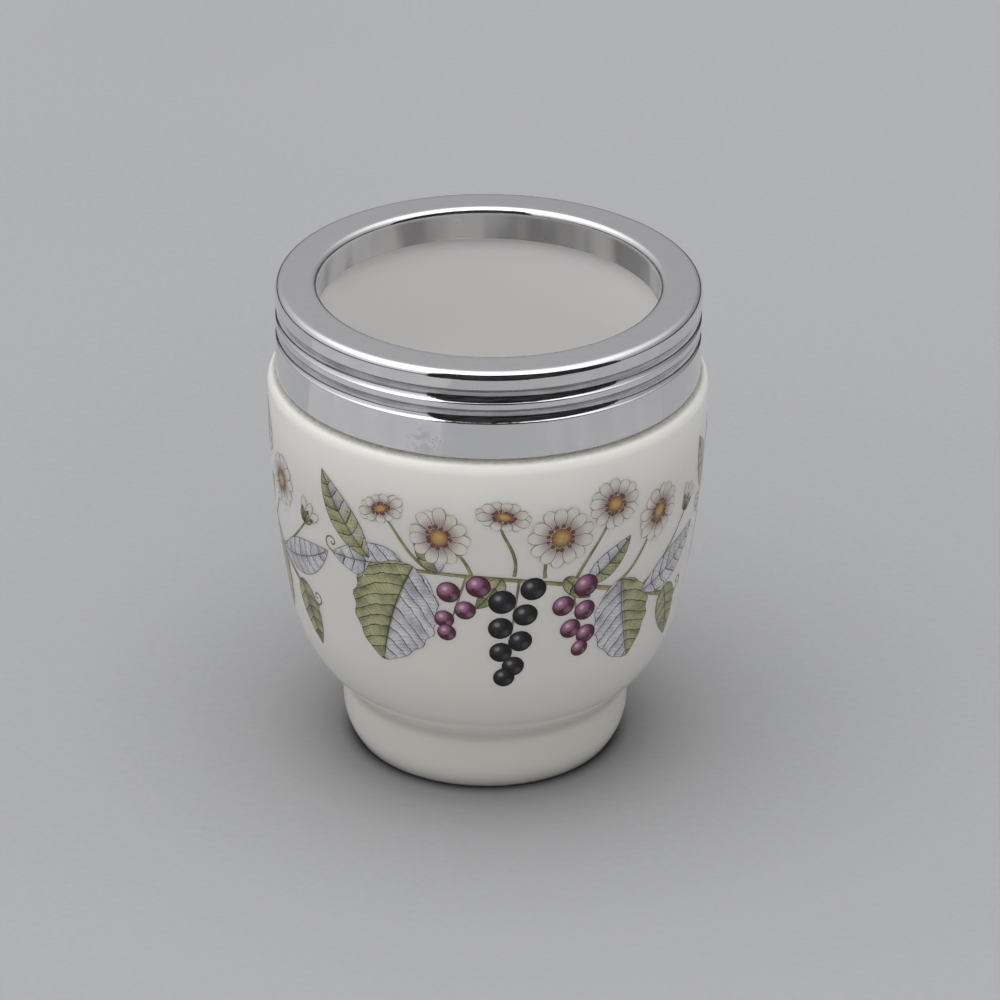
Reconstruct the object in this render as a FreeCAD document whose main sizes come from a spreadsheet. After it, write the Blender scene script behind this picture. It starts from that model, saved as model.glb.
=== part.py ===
import FreeCAD, Part
import math
import os
import Sketcher
from FreeCAD import Vector, Placement, Rotation

# Egg coddler: an open porcelain cup on a turned foot with a chromed screw ring round its mouth.
# Millimetres, +Z up, the axis of every piece is Z and the foot stands on z = 0.
# The ring screws on a raised thread on the neck of the cup and presses a flat washer on the rim.

doc = FreeCAD.newDocument("egg_coddler")
dims = doc.addObject("Spreadsheet::Sheet", "Dims")

# Driving dimensions in millimetres: name, value and meaning.
driving = [
    ("total_height", 73.2, "foot underside to the flat top of the ring"),
    ("belly_overhang", 1.25, "how far the belly of the cup stands out past the ring"),
    ("belly_curve", 192, "radius of the long side arc of the cup"),
    ("waist_height", 23.2, "height where the side arc meets the bowl arc"),
    ("foot_join_height", 10.8, "height where the bowl arc ends"),
    ("crease_width", 1, "width of the hollow rounding between foot and bowl"),
    ("crease_height", 2.6, "height of the hollow rounding of the crease"),
    ("crease_curve", 2.9, "radius of that rounding"),
    ("foot_bulge_radius", 21.25, "radius of the foot at its widest"),
    ("foot_bulge_height", 6, "height where the foot is widest"),
    ("foot_top_inset", 0.25, "how much narrower the foot is at its top"),
    ("foot_bottom_inset", 1.9, "how much narrower the foot is where it meets the table"),
    ("rest_width", 1.3, "width of the flat ring the cup stands on"),
    ("rest_rounding", 1.2, "height of the rounding inside that ring"),
    ("foot_wall", 4.5, "from the widest circle of the foot in to the hollow"),
    ("recess_depth", 4.4, "depth of the hollow under the foot"),
    ("recess_rounding", 2.2, "rounding between the hollow's wall and its roof"),
    ("cup_floor", 4.6, "thickness of the porcelain in the middle of the base"),
    ("wall_thickness", 4.5, "porcelain wall at the belly"),
    ("inner_belly_drop", 13.65, "widest inner circle below the shoulder"),
    ("inner_curve", 170, "radius of the long inner side arc"),
    ("inner_waist_height", 25, "height where the inner side arc meets the inner bowl arc"),
    ("shoulder_rounding", 2, "rounding between belly and shoulder"),
    ("shoulder_gap", 0.25, "gap between the shoulder and the lower edge of the ring"),
    ("neck_fillet", 0.5, "hollow rounding between shoulder and neck"),
    ("neck_bore_drop", 3, "end of the straight inner neck below the lip of the ring"),
    ("rim_rounding", 0.5, "rounding of the rim of the cup"),
    ("ring_height", 13.3, "height of the skirt of the ring"),
    ("ring_wall", 1.65, "thickness of the skirt"),
    ("flange_thickness", 1.2, "thickness of the flat top of the ring"),
    ("mouth_radius", 24.7, "radius of the opening in the ring"),
    ("lip_wall", 0.6, "thickness of the inner lip"),
    ("lip_depth", 5, "depth of the inner lip below the top"),
    ("lip_roundness", 0.52, "radius of the lip's lower edge as a share of its wall"),
    ("outer_edge", 1.05, "rounding of the outer top edge"),
    ("inner_edge", 0.9, "rounding of the inner top edge"),
    ("lower_edge", 0.25, "rounding of the lower edge of the skirt"),
    ("cove_top", 2.5, "top of the upper cove below the flat top"),
    ("cove_width", 2.2, "width of each cove"),
    ("cove_depth", 0.55, "depth of each cove"),
    ("land_width", 0.85, "land between the two coves"),
    ("neck_gap", 0.9, "gap between the inner lip and the porcelain"),
    ("neck_wall", 1.8, "porcelain wall of the neck"),
    ("washer_thickness", 0.8, "thickness of the sealing washer"),
    ("washer_inset", 0.1, "how far the washer keeps inside both edges of the rim"),
    ("thread_pitch", 3.2, "rise of the thread in one turn"),
    ("thread_turns", 1.5, "turns of thread on the neck and in the ring"),
    ("thread_depth", 0.8, "height of each thread above its wall"),
    ("thread_crest_half", 0.4, "half width of a thread at its crest"),
    ("thread_flank", 0.5, "widening of a thread on each side per millimetre of depth"),
    ("thread_clearance", 0.35, "gap between a thread's crest and the opposite wall"),
    ("thread_play", 0.25, "axial gap on the loaded flank"),
    ("thread_start", 2.5, "first thread centre on the neck above the lower edge of the ring"),
    ("thread_embed", 0.3, "how deep a thread's root is sunk in its wall"),
]

# Sizes that follow from the driving ones.
following = [
    ("ring_bottom", "total_height - ring_height"),
    ("flange_bottom", "total_height - flange_thickness"),
    ("lip_bottom", "total_height - lip_depth"),
    ("rim_top", "flange_bottom - washer_thickness"),
    ("shoulder_top", "ring_bottom - shoulder_gap"),
    ("belly_height", "shoulder_top - shoulder_rounding"),
    ("neck_inner", "mouth_radius + lip_wall + neck_gap"),
    ("neck_outer", "neck_inner + neck_wall"),
    ("neck_crest", "neck_outer + thread_depth"),
    ("bore", "neck_crest + thread_clearance"),
    ("ring_crest", "bore - thread_depth"),
    ("ring_radius", "bore + ring_wall"),
    ("belly_radius", "ring_radius + belly_overhang"),
    ("foot_top_radius", "foot_bulge_radius - foot_top_inset"),
    ("foot_top_height", "foot_join_height - crease_height"),
    ("foot_join_radius", "foot_top_radius + crease_width"),
    ("neck_thread_height", "ring_bottom + thread_start"),
    ("flank_width", "2 * thread_crest_half + (neck_crest - ring_crest) * thread_flank"),
    ("ring_thread_height", "neck_thread_height - flank_width - thread_play"),
    ("root_half_male", "thread_crest_half + (neck_crest - neck_outer + thread_embed) * thread_flank"),
    ("root_half_female", "thread_crest_half + (bore + thread_embed - ring_crest) * thread_flank"),
    ("inner_floor", "recess_depth + cup_floor"),
    # The side arc stands upright at the belly; the bowl arc leaves it at the waist without a crease.
    ("waist_sine", "(belly_height - waist_height) / belly_curve"),
    ("waist_cosine", "sqrt(1 - waist_sine ^ 2)"),
    ("waist_radius", "belly_radius - belly_curve * (1 - waist_cosine)"),
    ("bowl_run", "waist_radius - foot_join_radius"),
    ("bowl_rise", "waist_height - foot_join_height"),
    ("bowl_curve", "(bowl_run ^ 2 + bowl_rise ^ 2) / 2 / (bowl_run * waist_cosine - bowl_rise * waist_sine)"),
    # Inside, the bowl arc also runs level into the flat floor.
    ("inner_belly", "belly_radius - wall_thickness"),
    ("inner_belly_height", "shoulder_top - inner_belly_drop"),
    ("inner_sine", "(inner_belly_height - inner_waist_height) / inner_curve"),
    ("inner_cosine", "sqrt(1 - inner_sine ^ 2)"),
    ("inner_waist", "inner_belly - inner_curve * (1 - inner_cosine)"),
    ("inner_bowl", "(inner_waist_height - inner_floor) / (1 - inner_sine)"),
    ("floor_radius", "inner_waist - inner_bowl * inner_cosine"),
    # Two equal arcs lead from the straight inner neck out to the inner belly.
    ("throat_height", "lip_bottom - neck_bore_drop"),
    ("throat_run", "inner_belly - neck_inner"),
    ("throat_rise", "throat_height - inner_belly_height"),
    ("throat_curve", "(throat_run ^ 2 + throat_rise ^ 2) / 4 / throat_run"),
    ("throat_half_run", "throat_run / 2"),
    ("throat_half_rise", "throat_rise / 2"),
    # The foot is a barrel: two arcs stand upright where it is widest and close in above and below.
    ("foot_lower_curve", "(foot_bottom_inset ^ 2 + foot_bulge_height ^ 2) / 2 / foot_bottom_inset"),
    ("foot_upper_rise", "foot_top_height - foot_bulge_height"),
    ("foot_upper_curve", "(foot_top_inset ^ 2 + foot_upper_rise ^ 2) / 2 / foot_top_inset"),
    ("rest_outer", "foot_bulge_radius - foot_bottom_inset"),
    ("rest_inner", "rest_outer - rest_width"),
    ("recess_radius", "foot_bulge_radius - foot_wall"),
    ("inner_corner", "((rest_inner - recess_radius) ^ 2 + rest_rounding ^ 2) / 2 / rest_rounding"),
    ("lip_curve", "lip_wall * lip_roundness"),
    ("lip_round", "lip_curve - sqrt(lip_curve ^ 2 - lip_wall ^ 2 / 4)"),
    ("cove_curve", "(cove_width ^ 2 / 4 + cove_depth ^ 2) / 2 / cove_depth"),
    ("cove_1_top", "total_height - cove_top"),
    ("cove_1_bottom", "cove_1_top - cove_width"),
    ("cove_2_top", "cove_1_bottom - land_width"),
    ("cove_2_bottom", "cove_2_top - cove_width"),
]

for row, (alias, value, meaning) in enumerate(driving, start=1):
    dims.set("A%d" % row, alias)
    dims.set("B%d" % row, str(value))
    dims.set("C%d" % row, meaning)
    dims.setAlias("B%d" % row, alias)
for row, (alias, formula) in enumerate(following, start=len(driving) + 2):
    dims.set("A%d" % row, alias)
    dims.set("B%d" % row, "=" + formula)
    dims.setAlias("B%d" % row, alias)
doc.recompute()

# Corners of the half sections live in a table of their own: name, radius, height.
corners = doc.addObject("Spreadsheet::Sheet", "Corners")
corner_rows = {}


def in_dims(formula):
    """Prefix each alias in a formula with its table's name."""
    words = []
    for word in formula.split(" "):
        if word[0].isalpha():
            word = "Dims." + word
        words.append(word)
    return " ".join(words)


def corner(name, radius, height):
    """Enter one corner of a half section, given as two formulas of the driving sizes."""
    row = len(corner_rows) + 1
    corner_rows[name] = row
    corners.set("A%d" % row, name)
    corners.set("B%d" % row, "=" + in_dims(radius))
    corners.set("C%d" % row, "=" + in_dims(height))


def place(name):
    """Return the present position of a corner in the plane of the section."""
    row = corner_rows[name]
    return Vector(float(corners.get("B%d" % row)), float(corners.get("C%d" % row)), 0)


def size(name):
    """Return the present value of one named size."""
    return float(dims.get(name))


def origin_feature(body, role):
    """Return the plane or axis with the given role in a body's own origin."""
    for feature in body.Origin.OriginFeatures:
        if feature.Role == role:
            return feature
    raise RuntimeError("no origin feature " + role)


def new_body(name):
    """Add an empty body on the common axis."""
    body = doc.addObject("PartDesign::Body", name)
    body.Label = name
    body.Placement = Placement(Vector(0, 0, 0), Rotation(0, 0, 0, 1))
    return body


def new_sketch(body, name):
    """Add a sketch on the upright plane of a body: x is the radius and y is the height."""
    sketch = body.newObject("Sketcher::SketchObject", name)
    sketch.AttachmentSupport = [(origin_feature(body, "XZ_Plane"), "")]
    sketch.MapMode = "FlatFace"
    return sketch


def arc_between(start, end, radius, turn):
    """Return an arc from start to end; turn is 1 for counter-clockwise and -1 for clockwise."""
    chord = end - start
    half = chord.Length / 2
    middle = (start + end) * 0.5
    rise = math.sqrt(max(radius * radius - half * half, 0))
    side = Vector(-chord.y, chord.x, 0) * (turn * rise / chord.Length)
    centre = middle + side
    first, last = (start, end) if turn > 0 else (end, start)
    a0 = math.atan2(first.y - centre.y, first.x - centre.x)
    a1 = math.atan2(last.y - centre.y, last.x - centre.x)
    if a1 < a0:
        a1 += 2 * math.pi
    return Part.ArcOfCircle(Part.Circle(centre, Vector(0, 0, 1), radius), a0, a1)


def draw_section(body, name, path):
    """Draw a closed half section.

    path lists (corner, edge) pairs: the edge leads from that corner to the next one and is None
    for a straight line, or (radius alias, turn) for an arc. Every corner is held by two
    distances bound to the table of corners, and every arc by its radius.
    """
    sketch = new_sketch(body, name)
    count = len(path)
    ends = []
    for index, (name_here, edge) in enumerate(path):
        start = place(name_here)
        end = place(path[(index + 1) % count][0])
        if edge is None:
            geo = sketch.addGeometry(Part.LineSegment(start, end), False)
            ends.append((geo, 1, 2))
        else:
            alias, turn = edge
            geo = sketch.addGeometry(arc_between(start, end, size(alias), turn), False)
            ends.append((geo, 1, 2) if turn > 0 else (geo, 2, 1))
    for index in range(count):
        geo, start_point, end_point = ends[index]
        next_geo, next_start, next_end = ends[(index + 1) % count]
        sketch.addConstraint(Sketcher.Constraint("Coincident", geo, end_point, next_geo, next_start))
    for index, (name_here, edge) in enumerate(path):
        geo, start_point, end_point = ends[index]
        point = place(name_here)
        row = corner_rows[name_here]
        hold(sketch, ("DistanceX", -1, 1, geo, start_point, point.x), "Corners.B%d" % row)
        hold(sketch, ("DistanceY", -1, 1, geo, start_point, point.y), "Corners.C%d" % row)
        if edge is not None:
            hold(sketch, ("Radius", geo, size(edge[0])), "Dims." + edge[0])
    return sketch


def hold(sketch, constraint, expression):
    """Add a dimension to a sketch and bind it to a table."""
    index = sketch.addConstraint(Sketcher.Constraint(*constraint))
    sketch.setExpression("Constraints[%d]" % index, expression)


def revolve(body, name, sketch):
    """Turn a half section once round the upright axis."""
    solid = body.newObject("PartDesign::Revolution", name)
    solid.Profile = sketch
    solid.ReferenceAxis = (sketch, ["V_Axis"])
    solid.Angle = 360
    return solid


def add_thread(body, name, path):
    """Add a right-hand raised thread with the given closed profile."""
    profile = draw_section(body, name + "_profile", path)
    thread = body.newObject("PartDesign::AdditiveHelix", name)
    thread.Profile = profile
    thread.ReferenceAxis = (profile, ["V_Axis"])
    thread.Mode = "pitch-turns-angle"
    thread.setExpression("Pitch", "Dims.thread_pitch")
    thread.setExpression("Turns", "Dims.thread_turns")
    thread.Angle = 0
    thread.LeftHanded = False
    thread.Reversed = False
    return thread


# Corners of the cup, from the middle of the hollow under the foot, outside first.
corner("under_axis", "0", "recess_depth")
corner("recess_edge", "recess_radius - recess_rounding", "recess_depth")
corner("recess_wall", "recess_radius", "recess_depth - recess_rounding")
corner("foot_inside", "recess_radius", "rest_rounding")
corner("rest_inside", "rest_inner", "0")
corner("rest_outside", "rest_outer", "0")
corner("foot_bulge", "foot_bulge_radius", "foot_bulge_height")
corner("foot_top", "foot_top_radius", "foot_top_height")
corner("bowl_start", "foot_join_radius", "foot_join_height")
corner("waist", "waist_radius", "waist_height")
corner("belly", "belly_radius", "belly_height")
corner("shoulder", "belly_radius - shoulder_rounding", "shoulder_top")
corner("neck_foot", "neck_outer + neck_fillet", "shoulder_top")
corner("neck_start", "neck_outer", "shoulder_top + neck_fillet")
corner("rim_outside", "neck_outer", "rim_top - rim_rounding")
corner("rim_top_outside", "neck_outer - rim_rounding", "rim_top")
corner("rim_top_inside", "neck_inner + rim_rounding", "rim_top")
corner("rim_inside", "neck_inner", "rim_top - rim_rounding")
corner("throat", "neck_inner", "throat_height")
corner("throat_middle", "neck_inner + throat_half_run", "inner_belly_height + throat_half_rise")
corner("inner_belly_point", "inner_belly", "inner_belly_height")
corner("inner_waist_point", "inner_waist", "inner_waist_height")
corner("floor_edge", "floor_radius", "inner_floor")
corner("floor_axis", "0", "inner_floor")

# Corners of the screw ring, from the lower edge of the skirt, outside first.
corner("skirt_inside", "bore", "ring_bottom")
corner("skirt_outside", "ring_radius - lower_edge", "ring_bottom")
corner("skirt_side", "ring_radius", "ring_bottom + lower_edge")
corner("lower_cove_bottom", "ring_radius", "cove_2_bottom")
corner("lower_cove_top", "ring_radius", "cove_2_top")
corner("upper_cove_bottom", "ring_radius", "cove_1_bottom")
corner("upper_cove_top", "ring_radius", "cove_1_top")
corner("edge_side", "ring_radius", "total_height - outer_edge")
corner("edge_top", "ring_radius - outer_edge", "total_height")
corner("mouth_top", "mouth_radius + inner_edge", "total_height")
corner("mouth_side", "mouth_radius", "total_height - inner_edge")
corner("lip_inside", "mouth_radius", "lip_bottom + lip_round")
corner("lip_outside", "mouth_radius + lip_wall", "lip_bottom + lip_round")
corner("flange_inside", "mouth_radius + lip_wall", "flange_bottom")
corner("flange_outside", "bore", "flange_bottom")

# Corners of the sealing washer.
corner("washer_inner_low", "neck_inner + washer_inset", "rim_top")
corner("washer_outer_low", "neck_outer - washer_inset", "rim_top")
corner("washer_outer_high", "neck_outer - washer_inset", "flange_bottom")
corner("washer_inner_high", "neck_inner + washer_inset", "flange_bottom")

# Corners of the two thread profiles; each root is sunk in its wall.
corner("male_root_low", "neck_outer - thread_embed", "neck_thread_height - root_half_male")
corner("male_crest_low", "neck_crest", "neck_thread_height - thread_crest_half")
corner("male_crest_high", "neck_crest", "neck_thread_height + thread_crest_half")
corner("male_root_high", "neck_outer - thread_embed", "neck_thread_height + root_half_male")
corner("female_root_low", "bore + thread_embed", "ring_thread_height - root_half_female")
corner("female_crest_low", "ring_crest", "ring_thread_height - thread_crest_half")
corner("female_crest_high", "ring_crest", "ring_thread_height + thread_crest_half")
corner("female_root_high", "bore + thread_embed", "ring_thread_height + root_half_female")
doc.recompute()

cup = new_body("porcelain_cup")
cup_section = draw_section(cup, "cup_section", [
    ("under_axis", None),
    ("recess_edge", ("recess_rounding", -1)),
    ("recess_wall", None),
    ("foot_inside", ("inner_corner", 1)),
    ("rest_inside", None),
    ("rest_outside", ("foot_lower_curve", 1)),
    ("foot_bulge", ("foot_upper_curve", 1)),
    ("foot_top", ("crease_curve", -1)),
    ("bowl_start", ("bowl_curve", 1)),
    ("waist", ("belly_curve", 1)),
    ("belly", ("shoulder_rounding", 1)),
    ("shoulder", None),
    ("neck_foot", ("neck_fillet", -1)),
    ("neck_start", None),
    ("rim_outside", ("rim_rounding", 1)),
    ("rim_top_outside", None),
    ("rim_top_inside", ("rim_rounding", 1)),
    ("rim_inside", None),
    ("throat", ("throat_curve", 1)),
    ("throat_middle", ("throat_curve", -1)),
    ("inner_belly_point", ("inner_curve", -1)),
    ("inner_waist_point", ("inner_bowl", -1)),
    ("floor_edge", None),
    ("floor_axis", None),
])
revolve(cup, "cup_turned", cup_section)
add_thread(cup, "neck_thread", [
    ("male_root_low", None),
    ("male_crest_low", None),
    ("male_crest_high", None),
    ("male_root_high", None),
])

ring = new_body("screw_ring")
ring_section = draw_section(ring, "ring_section", [
    ("skirt_inside", None),
    ("skirt_outside", ("lower_edge", 1)),
    ("skirt_side", None),
    ("lower_cove_bottom", ("cove_curve", -1)),
    ("lower_cove_top", None),
    ("upper_cove_bottom", ("cove_curve", -1)),
    ("upper_cove_top", None),
    ("edge_side", ("outer_edge", 1)),
    ("edge_top", None),
    ("mouth_top", ("inner_edge", 1)),
    ("mouth_side", None),
    ("lip_inside", ("lip_curve", 1)),
    ("lip_outside", None),
    ("flange_inside", None),
    ("flange_outside", None),
])
revolve(ring, "ring_turned", ring_section)
add_thread(ring, "ring_thread", [
    ("female_crest_low", None),
    ("female_root_low", None),
    ("female_root_high", None),
    ("female_crest_high", None),
])

washer = new_body("seal_washer")
washer_section = draw_section(washer, "washer_section", [
    ("washer_inner_low", None),
    ("washer_outer_low", None),
    ("washer_outer_high", None),
    ("washer_inner_high", None),
])
revolve(washer, "washer_turned", washer_section)
doc.recompute()

# Nothing is written unless every object and every shape is sound.
for item in doc.Objects:
    if "Invalid" in item.State or "Error" in item.State:
        raise RuntimeError("bad object " + item.Name)
os.makedirs("parts", exist_ok=True)
for body in (cup, ring, washer):
    if body.Shape.isNull() or not body.Shape.isValid() or len(body.Shape.Solids) != 1:
        raise RuntimeError("bad shape " + body.Label)
    body.Shape.exportStep("parts/%s.step" % body.Label)
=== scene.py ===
# %% [markdown]
# An egg coddler is a small porcelain pot for cooking one egg. This one is open, with a chromed
# screw ring round its mouth and a printed band of plants round its side. The solids come from the
# CAD frame. They set every size and move in the joints, and this script gives them their looks.

# %% Load the frame
from math import atan2, comb, copysign, cos, hypot, pi, radians, sin, sqrt

import bmesh
import bpy
import numpy as np
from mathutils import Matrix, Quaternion, Vector


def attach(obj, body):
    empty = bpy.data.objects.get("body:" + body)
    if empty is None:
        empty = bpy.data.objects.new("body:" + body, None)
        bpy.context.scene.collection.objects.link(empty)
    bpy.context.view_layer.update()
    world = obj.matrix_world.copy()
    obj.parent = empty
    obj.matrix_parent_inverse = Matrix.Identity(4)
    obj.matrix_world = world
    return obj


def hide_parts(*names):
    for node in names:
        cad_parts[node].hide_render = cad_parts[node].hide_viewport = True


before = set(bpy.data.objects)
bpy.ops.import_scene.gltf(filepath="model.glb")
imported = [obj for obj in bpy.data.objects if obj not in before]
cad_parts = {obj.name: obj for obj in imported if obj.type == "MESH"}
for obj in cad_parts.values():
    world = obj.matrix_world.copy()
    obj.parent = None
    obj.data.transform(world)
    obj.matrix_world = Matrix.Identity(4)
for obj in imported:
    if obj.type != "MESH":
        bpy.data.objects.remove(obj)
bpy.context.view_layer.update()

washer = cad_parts["seal_washer"]
scene = bpy.context.scene
MM = 0.001

# %% [markdown]
# The cup and the ring were both turned, so each is one profile carried once round the upright
# axis. The profile is a walk from corner to corner, straight or along an arc, with the solid on
# the left. Real edges are never quite sharp: glaze and plating round them. A moving average along
# the walk does the same to every corner at once, and it leaves long runs as they are.

# %% A walk along a profile
STEP = 0.02  # spacing of the first, very fine points of a profile, mm


def leg(start, end, curve):
    """Points from start up to end, in mm, without end itself.

    A straight leg is start + (end - start) * k. An arc has the radius |curve| and bends to the
    left of the walk where curve is positive. Its centre lies on the chord's middle line, at the
    distance sqrt(curve^2 - (chord / 2)^2), and its points are centre + radius * (cos a, sin a).
    """
    start, end = np.array(start), np.array(end)
    chord = end - start
    length = np.hypot(*chord)
    share = np.linspace(0, 1, max(int(length / STEP), 4), endpoint=False)[:, None]
    if not curve:
        return start + chord * share
    side = copysign(1, curve)
    normal = np.array([-chord[1], chord[0]]) / length * side
    centre = (start + end) / 2 + normal * sqrt(max(curve ** 2 - length ** 2 / 4, 0))
    first = atan2(*(start - centre)[::-1])
    last = atan2(*(end - centre)[::-1])
    angle = first + (last - first) * side % (2 * pi) * side * share
    return centre + abs(curve) * np.hstack([np.cos(angle), np.sin(angle)])


def soften(walk, reach, closed):
    """Average each point with its neighbours by a bell curve that is reach mm wide."""
    half = int(3 * reach / STEP)
    bell = np.exp(-0.5 * (np.arange(-half, half + 1) * STEP / reach) ** 2)
    padded = np.pad(walk, ((half, half), (0, 0)), mode="wrap" if closed else "edge")
    columns = [np.convolve(padded[:, k], bell / bell.sum(), mode="valid") for k in (0, 1)]
    return np.stack(columns, axis=1)


def profile(corners, reach, closed, bend=7.0):
    """Turn corners (radius, height, curve, row spacing) into the rows of a turned piece.

    Rows are placed evenly along the sum of distance / row spacing and turning / bend, so they
    crowd together where the walk turns.
    """
    legs = []
    rows_wanted = []
    for index, (radius, height, curve, spacing) in enumerate(corners):
        if index == len(corners) - 1 and not closed:
            legs.append(np.array([[radius, height]]))
        else:
            following = corners[(index + 1) % len(corners)]
            legs.append(leg((radius, height), following[:2], curve))
        rows_wanted.append(np.full(len(legs[-1]), 1 / spacing))
    walk = soften(np.vstack(legs), reach, closed)
    if closed:
        walk = np.vstack([walk, walk[:1]])
    wanted = np.concatenate(rows_wanted)[:len(walk) - 1]
    steps = np.diff(walk, axis=0)
    heading = np.unwrap(np.arctan2(steps[:, 1], steps[:, 0]))
    turning = np.abs(np.diff(heading, append=heading[-1])) / radians(bend)
    count = np.concatenate([[0], np.cumsum(np.hypot(*steps.T) * wanted + turning)])
    even = np.linspace(0, count[-1], int(count[-1]) + 1)
    return np.stack([np.interp(even, count, walk[:, k]) for k in (0, 1)], axis=1)


print("A quarter arc of 2 mm has", len(leg((2, 0), (0, 2), 2.0)), "fine points")

# %% [markdown]
# A raised thread is a ridge that climbs one pitch in each turn. It is only a change of radius: at
# the angle a and the height z it depends on how far z is from the ridge's middle,
# start + pitch * a / 360. So it needs no mesh of its own, and one formula serves cup and ring.

# %% Thread and turned surface
PITCH = 3.2
THREAD_TURNS = 1.5
THREAD_DEPTH = 0.8
CREST_HALF = 0.4
FLANK = 0.5


def thread_height(height, angle, start, ease=0.06):
    """How far the ridge stands out, in mm.

    Each winding gives depth * clip((crest half + flank * depth - |z - middle|) / (flank * depth),
    0, 1), times a smooth run-out over a share of a turn at both ends. The highest winding counts.
    """
    best = np.zeros(np.broadcast(height, angle).shape)
    for winding in (0, 1):
        turns = angle / (2 * pi) + winding
        away = np.abs(height - start - PITCH * turns)
        ridge = np.clip((CREST_HALF + FLANK * THREAD_DEPTH - away) / (FLANK * THREAD_DEPTH), 0, 1)
        ridge = ridge * ridge * (3 - 2 * ridge)
        inside = np.clip(np.minimum(turns, THREAD_TURNS - turns) / ease, 0, 1)
        best = np.maximum(best, THREAD_DEPTH * ridge * inside * inside * (3 - 2 * inside))
    return best


def finish_mesh(name, points, faces, body, marks=None):
    """Make a mesh object in metres from points in mm, merge its poles, and let it ride."""
    mesh = bpy.data.meshes.new(name)
    mesh.from_pydata((points * MM).tolist(), [], faces.tolist())
    for mark, values in (marks or {}).items():
        mesh.attributes.new(mark, "FLOAT", "POINT").data.foreach_set("value", values)
    work = bmesh.new()
    work.from_mesh(mesh)
    bmesh.ops.remove_doubles(work, verts=work.verts, dist=1e-7)
    work.to_mesh(mesh)
    work.free()
    mesh.shade_smooth()
    piece = bpy.data.objects.new(name, mesh)
    scene.collection.objects.link(piece)
    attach(piece, body)
    print(name, "has", len(mesh.polygons), "faces")
    return piece


def turned(name, rows, body, ridge=None, around=360):
    """Carry a profile round the axis: (r, z) becomes (r cos a, r sin a, z).

    ridge gives a change of the radius from heights and angles. Rows at radius 0 are poles, whose
    points all fall together and are merged.
    """
    angle = np.linspace(0, 2 * pi, around, endpoint=False)[None, :]
    radius = np.repeat(rows[:, :1], around, axis=1)
    height = np.repeat(rows[:, 1:], around, axis=1)
    if ridge:
        radius = radius + ridge(radius, height, angle)
    points = np.stack([radius * np.cos(angle), radius * np.sin(angle), height], axis=-1)
    here = np.arange(len(rows) - 1)[:, None] * around + np.arange(around)[None, :]
    beside = here - np.arange(around) + (np.arange(around) + 1) % around
    faces = np.stack([here, beside, beside + around, here + around], axis=-1)
    return finish_mesh(name, points.reshape(-1, 3), faces.reshape(-1, 4), body)


# %% [markdown]
# The cup is porcelain: a turned foot with a narrow ring to stand on, a deep bowl, a nearly
# upright side, a soft shoulder and a thin neck for the ring to screw on. The CAD mesh has flat
# triangles that a mirror-like glaze would show, so one finer surface with the same corners and
# arcs stands for it. It walks from the hollow under the foot up the outside, over the rim and down
# the inside. Its belly is 0.05 mm less in radius, which leaves room for the print on top.

# %% The cup
TOTAL_HEIGHT = 73.2
RING_BOTTOM = 59.9
FLANGE_BOTTOM = 72.0
LIP_BOTTOM = 68.2
RIM_TOP = 71.2
SHOULDER = 59.65
BELLY_HEIGHT = 57.65
BELLY_RADIUS = 32.0
BELLY_CURVE = 192.0
WAIST_HEIGHT = 23.2
FOOT_JOIN = (22.0, 10.8)
FOOT_TOP = (21.0, 8.2)
FOOT_BULGE = (21.25, 6.0)
FOOT_CREASE = 2.9
REST_OUTER = 19.35
REST_INNER = 18.05
REST_RISE = 1.2
RECESS = 16.75
RECESS_DEPTH = 4.4
RECESS_ROUND = 2.2
SHOULDER_ROUND = 2.0
RIM_ROUND = 0.5
NECK_OUTER = 28.0
NECK_INNER = 26.2
NECK_THREAD = 62.4
INNER_BELLY = (27.55, 46.0)
INNER_CURVE = 170.0
INNER_WAIST_HEIGHT = 25.0
INNER_FLOOR = 9.0
CUP_SOFTNESS = 0.10


def bowl_arc(sine, waist, end):
    """Radius of the arc that leaves waist without a crease and passes through end."""
    run, rise = waist[0] - end[0], waist[1] - end[1]
    cosine = sqrt(1 - sine ** 2)
    return (run ** 2 + rise ** 2) / 2 / (run * cosine - rise * sine)


def upright_arc(widest, end):
    """Radius of the arc that stands upright at its widest point and closes in to end."""
    inset, rise = widest[0] - end[0], widest[1] - end[1]
    return (inset ** 2 + rise ** 2) / 2 / inset


sine = (BELLY_HEIGHT - WAIST_HEIGHT) / BELLY_CURVE
waist = (BELLY_RADIUS - BELLY_CURVE * (1 - sqrt(1 - sine ** 2)), WAIST_HEIGHT)
bowl = bowl_arc(sine, waist, FOOT_JOIN)
inner_sine = (INNER_BELLY[1] - INNER_WAIST_HEIGHT) / INNER_CURVE
inner_cosine = sqrt(1 - inner_sine ** 2)
inner_waist = (INNER_BELLY[0] - INNER_CURVE * (1 - inner_cosine), INNER_WAIST_HEIGHT)
inner_bowl = (INNER_WAIST_HEIGHT - INNER_FLOOR) / (1 - inner_sine)
floor_edge = inner_waist[0] - inner_bowl * inner_cosine
throat = (NECK_INNER, LIP_BOTTOM - 3.0)
throat_middle = ((throat[0] + INNER_BELLY[0]) / 2, (throat[1] + INNER_BELLY[1]) / 2)
throat_run, throat_rise = INNER_BELLY[0] - throat[0], throat[1] - INNER_BELLY[1]
throat_curve = (throat_run ** 2 + throat_rise ** 2) / 4 / throat_run
foot_lower = upright_arc(FOOT_BULGE, (REST_OUTER, 0))
foot_upper = upright_arc(FOOT_BULGE, FOOT_TOP)
rest_corner = ((REST_INNER - RECESS) ** 2 + REST_RISE ** 2) / 2 / REST_RISE

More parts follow.
